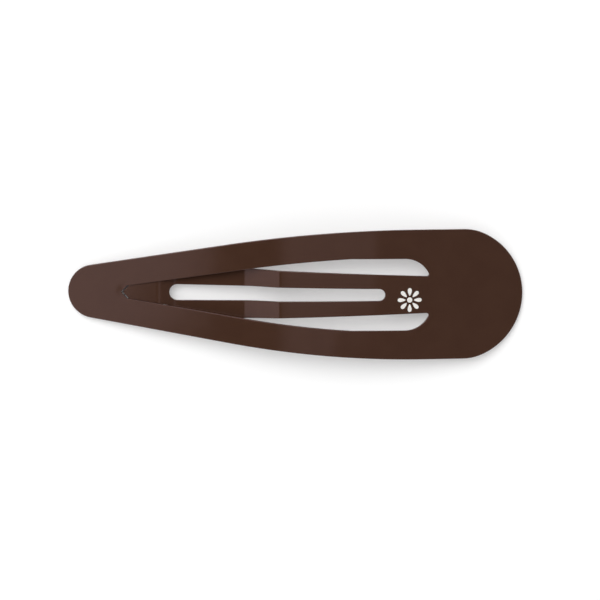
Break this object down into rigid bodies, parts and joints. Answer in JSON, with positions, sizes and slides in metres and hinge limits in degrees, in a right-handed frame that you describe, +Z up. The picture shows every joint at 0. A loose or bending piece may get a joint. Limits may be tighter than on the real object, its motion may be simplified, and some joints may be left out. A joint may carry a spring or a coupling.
{
  "type": "snap hair clip",
  "caption": "Bowed, enamelled steel snap hair clip: a wide head and a narrow nose joined by two side arms round a centre tongue. The nose flips up to open.",
  "frame": {"origin": "under the middle of the clip's bounding box, on the surface that the two ends rest on", "axes": "+X along the clip towards the wide head, +Y across it, +Z up"},
  "size_m": [0.076, 0.0218, 0.0055],
  "materials": {
    "enamelled_steel": "glossy dark brown enamel, baked over spring steel"
  },
  "bodies": {
    "head": {"head_plate": "enamelled_steel"},
    "rear_arms": {"rear_arm_right": "enamelled_steel", "rear_arm_left": "enamelled_steel"},
    "front_arms": {"front_arm_right": "enamelled_steel", "front_arm_left": "enamelled_steel"},
    "nose": {"nose_plate": "enamelled_steel"},
    "tongue": {"tongue": "enamelled_steel"}
  },
  "joints": [
    {"name": "middle_flex", "type": "hinge", "parent": "rear_arms", "child": "front_arms", "pos_m": [-0.00117, 0, 0.00533], "axis": [0, 1, 0], "range_deg": [0, 16]},
    {"name": "root_flex", "type": "hinge", "parent": "head", "child": "rear_arms", "pos_m": [0.02186, 0, 0.00393], "axis": [0, 1, 0], "range_deg": [0, 8]},
    {"name": "nose_flex", "type": "hinge", "parent": "front_arms", "child": "nose", "pos_m": [-0.0242, 0, 0.00253], "axis": [0, 1, 0], "range_deg": [0, 8]},
    {"name": "tongue_flex", "type": "hinge", "parent": "head", "child": "tongue", "pos_m": [0.02186, 0, 0.00322], "axis": [0, -1, 0], "range_deg": [0, 1], "stiffness_Nm_per_rad": 1}
  ],
  "couplings": [
    {"joint": "root_flex", "follows": "middle_flex", "ratio": 0.5},
    {"joint": "nose_flex", "follows": "middle_flex", "ratio": 0.5}
  ]
}
